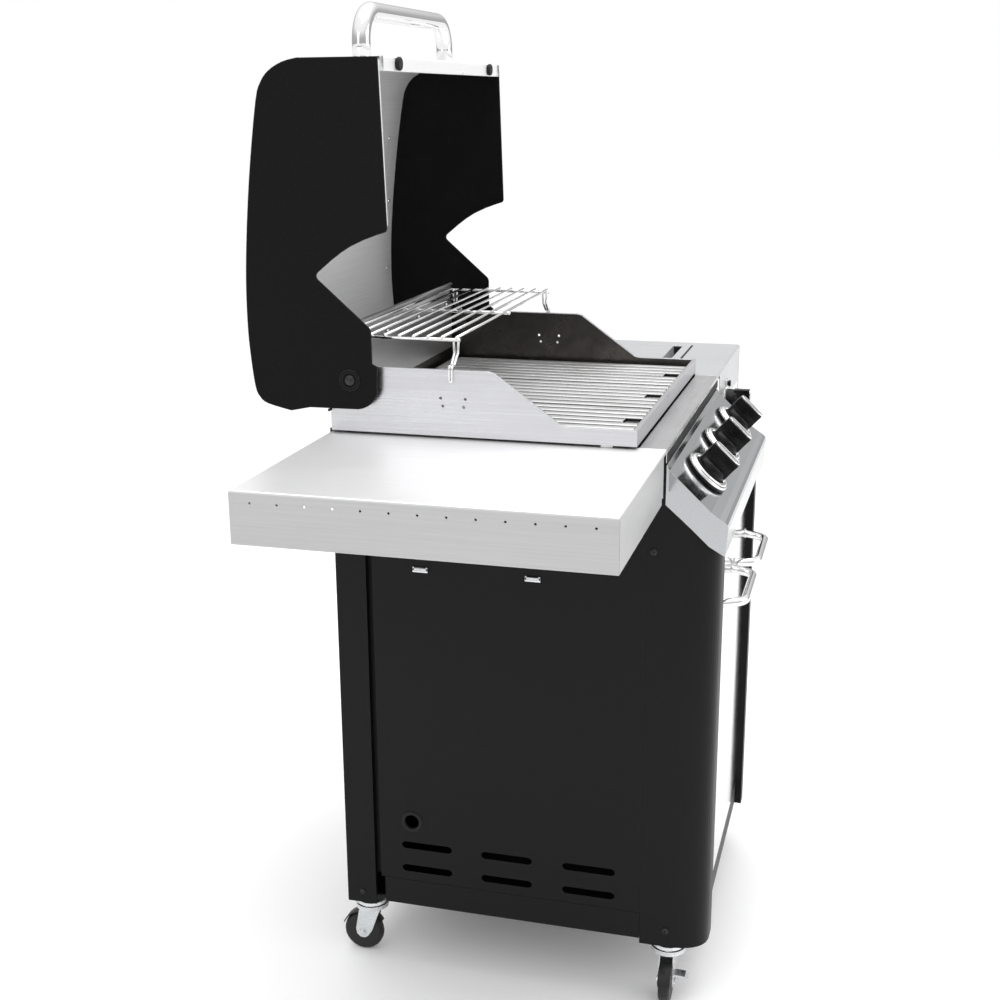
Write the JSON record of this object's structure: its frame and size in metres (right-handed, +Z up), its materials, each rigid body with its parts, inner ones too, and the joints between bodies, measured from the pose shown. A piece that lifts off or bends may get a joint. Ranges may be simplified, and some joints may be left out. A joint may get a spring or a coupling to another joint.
{
  "type": "gas barbecue grill",
  "caption": "Gas barbecue grill on a closed cabinet cart with swivel casters, side shelves, side burner, hinged lid, doors, control knobs and a warming rack.",
  "frame": {"origin": "on the ground under the middle of the whole grill's box", "axes": "+Z up, front with doors and knobs toward -Y, +X toward the side burner shelf"},
  "size_m": [1.306, 0.7536, 1.5492],
  "materials": {
    "black_steel": "satin black powder coat",
    "brushed_stainless": "fine straight brushing",
    "polished_stainless": "near mirror polish",
    "chrome": "polished",
    "lid_casting": "pebbled satin black",
    "black_enamel": "semi gloss enamel",
    "grate_stainless": "brushed, wide flat bars",
    "burner_steel": "dull",
    "galvanised": "dull",
    "brass": "turned",
    "knob_plastic": "gloss black",
    "zinc": "bright zinc plate",
    "wheel_plastic": "matte black"
  },
  "bodies": {
    "cart": {"front_post_left": "black_steel", "front_post_right": "black_steel", "rear_post_left": "black_steel", "rear_post_right": "black_steel", "side_panel_left": "black_steel", "side_panel_right": "black_steel", "bottom_shelf": "black_steel", "back_panel": "black_steel", "left_shelf": "brushed_stainless", "right_shelf": "brushed_stainless", "firebox_jacket": "brushed_stainless", "rear_baffle": "brushed_stainless", "front_trim": "brushed_stainless", "control_panel": "brushed_stainless", "side_burner": "brushed_stainless", "warming_rack": "chrome", "pan_support": "chrome", "knob_bezel_left": "chrome", "knob_bezel_middle": "chrome", "knob_bezel_right": "chrome", "firebox_tub": "black_enamel", "cooking_grate_left": "grate_stainless", "cooking_grate_middle": "grate_stainless", "cooking_grate_right": "grate_stainless", "heat_tent_left": "grate_stainless", "heat_tent_middle": "grate_stainless", "heat_tent_right": "grate_stainless", "burner_left": "burner_steel", "burner_middle": "burner_steel", "burner_right": "burner_steel", "gas_manifold": "galvanised"},
    "lid": {"lid_shell": "brushed_stainless", "lid_cap_left": "lid_casting", "lid_cap_right": "lid_casting", "lid_handle": "chrome"},
    "door_left_leaf": {"door_left": "polished_stainless", "door_handle_left": "chrome"},
    "door_right_leaf": {"door_right": "polished_stainless", "door_handle_right": "chrome"},
    "stem_left": {"valve_stem_left": "brass"},
    "knob_left": {"control_knob_left": "knob_plastic"},
    "stem_middle": {"valve_stem_middle": "brass"},
    "knob_middle": {"control_knob_middle": "knob_plastic"},
    "stem_right": {"valve_stem_right": "brass"},
    "knob_right": {"control_knob_right": "knob_plastic"},
    "stem_side": {"valve_stem_side": "brass"},
    "knob_side": {"control_knob_side": "knob_plastic"},
    "side_lid": {"side_cover": "brushed_stainless"},
    "igniter": {"igniter_button": "knob_plastic"},
    "drip_tray": {"grease_tray": "galvanised"},
    "caster_rear_left": {"caster_fork_rear_left": "zinc"},
    "wheel_rear_left": {"caster_wheel_rear_left": "wheel_plastic"},
    "caster_rear_right": {"caster_fork_rear_right": "zinc"},
    "wheel_rear_right": {"caster_wheel_rear_right": "wheel_plastic"},
    "caster_front_left": {"caster_fork_front_left": "zinc"},
    "wheel_front_left": {"caster_wheel_front_left": "wheel_plastic"},
    "caster_front_right": {"caster_fork_front_right": "zinc"},
    "wheel_front_right": {"caster_wheel_front_right": "wheel_plastic"},
    "brake_front_left": {"brake_lever_front_left": "zinc"},
    "brake_front_right": {"brake_lever_front_right": "zinc"}
  },
  "joints": [
    {"name": "lid_hinge", "type": "hinge", "parent": "cart", "child": "lid", "pos_m": [0, 0.2151, 1.0037], "axis": [1, 0, 0], "range_deg": [0, 92.2]},
    {"name": "door_left_hinge", "type": "hinge", "parent": "cart", "child": "door_left_leaf", "pos_m": [-0.216, -0.3275, 0.4545], "axis": [0, 0, -1], "range_deg": [0, 95]},
    {"name": "door_right_hinge", "type": "hinge", "parent": "cart", "child": "door_right_leaf", "pos_m": [0.216, -0.3275, 0.4545], "axis": [0, 0, 1], "range_deg": [0, 95]},
    {"name": "stem_left_push", "type": "slide", "parent": "cart", "child": "stem_left", "axis": [0, 0.6848, -0.7288], "range_m": [0, 0.003], "stiffness_N_per_m": 600, "springref_m": -0.003},
    {"name": "knob_left_turn", "type": "hinge", "parent": "stem_left", "child": "knob_left", "pos_m": [-0.1685, -0.3015, 0.8536], "axis": [0, -0.6848, 0.7288], "range_deg": [0, 210]},
    {"name": "stem_middle_push", "type": "slide", "parent": "cart", "child": "stem_middle", "axis": [0, 0.6848, -0.7288], "range_m": [0, 0.003], "stiffness_N_per_m": 600, "springref_m": -0.003},
    {"name": "knob_middle_turn", "type": "hinge", "parent": "stem_middle", "child": "knob_middle", "pos_m": [0.0105, -0.3015, 0.8536], "axis": [0, -0.6848, 0.7288], "range_deg": [0, 210]},
    {"name": "stem_right_push", "type": "slide", "parent": "cart", "child": "stem_right", "axis": [0, 0.6848, -0.7288], "range_m": [0, 0.003], "stiffness_N_per_m": 600, "springref_m": -0.003},
    {"name": "knob_right_turn", "type": "hinge", "parent": "stem_right", "child": "knob_right", "pos_m": [0.1895, -0.3015, 0.8536], "axis": [0, -0.6848, 0.7288], "range_deg": [0, 210]},
    {"name": "stem_side_push", "type": "slide", "parent": "cart", "child": "stem_side", "axis": [0, 1, 0], "range_m": [0, 0.003], "stiffness_N_per_m": 600, "springref_m": -0.003},
    {"name": "knob_side_turn", "type": "hinge", "parent": "stem_side", "child": "knob_side", "pos_m": [0.42, -0.2605, 0.849], "axis": [0, -1, 0], "range_deg": [0, 210]},
    {"name": "side_cover_hinge", "type": "hinge", "parent": "cart", "child": "side_lid", "pos_m": [0.4745, 0.1273, 0.9182], "axis": [-1, 0, 0], "range_deg": [0, 100]},
    {"name": "igniter_push", "type": "slide", "parent": "cart", "child": "igniter", "axis": [0, 1, 0], "range_m": [0, 0.003], "stiffness_N_per_m": 300, "springref_m": -0.002},
    {"name": "drip_tray_slide", "type": "slide", "parent": "cart", "child": "drip_tray", "axis": [0, 1, 0], "range_m": [0, 0.25]},
    {"name": "caster_rear_left_swivel", "type": "hinge", "parent": "cart", "child": "caster_rear_left", "pos_m": [-0.262, 0.2291, 0.1], "axis": [0, 0, 1], "continuous": true},
    {"name": "wheel_rear_left_roll", "type": "hinge", "parent": "caster_rear_left", "child": "wheel_rear_left", "pos_m": [-0.262, 0.2446, 0.0345], "axis": [1, 0, 0], "continuous": true},
    {"name": "caster_rear_right_swivel", "type": "hinge", "parent": "cart", "child": "caster_rear_right", "pos_m": [0.262, 0.2291, 0.1], "axis": [0, 0, 1], "continuous": true},
    {"name": "wheel_rear_right_roll", "type": "hinge", "parent": "caster_rear_right", "child": "wheel_rear_right", "pos_m": [0.262, 0.2446, 0.0345], "axis": [1, 0, 0], "continuous": true},
    {"name": "caster_front_left_swivel", "type": "hinge", "parent": "cart", "child": "caster_front_left", "pos_m": [-0.262, -0.2795, 0.1], "axis": [0, 0, 1], "continuous": true},
    {"name": "wheel_front_left_roll", "type": "hinge", "parent": "caster_front_left", "child": "wheel_front_left", "pos_m": [-0.2775, -0.2795, 0.0345], "axis": [0, 1, 0], "continuous": true},
    {"name": "caster_front_right_swivel", "type": "hinge", "parent": "cart", "child": "caster_front_right", "pos_m": [0.262, -0.2795, 0.1], "axis": [0, 0, 1], "continuous": true},
    {"name": "wheel_front_right_roll", "type": "hinge", "parent": "caster_front_right", "child": "wheel_front_right", "pos_m": [0.2775, -0.2795, 0.0345], "axis": [0, -1, 0], "continuous": true},
    {"name": "brake_front_left_tilt", "type": "hinge", "parent": "caster_front_left", "child": "brake_front_left", "pos_m": [-0.2795, -0.2934, 0.052], "axis": [1, 0, 0], "range_deg": [0, 20]},
    {"name": "brake_front_right_tilt", "type": "hinge", "parent": "caster_front_right", "child": "brake_front_right", "pos_m": [0.2795, -0.2934, 0.052], "axis": [1, 0, 0], "range_deg": [0, 20]}
  ]
}
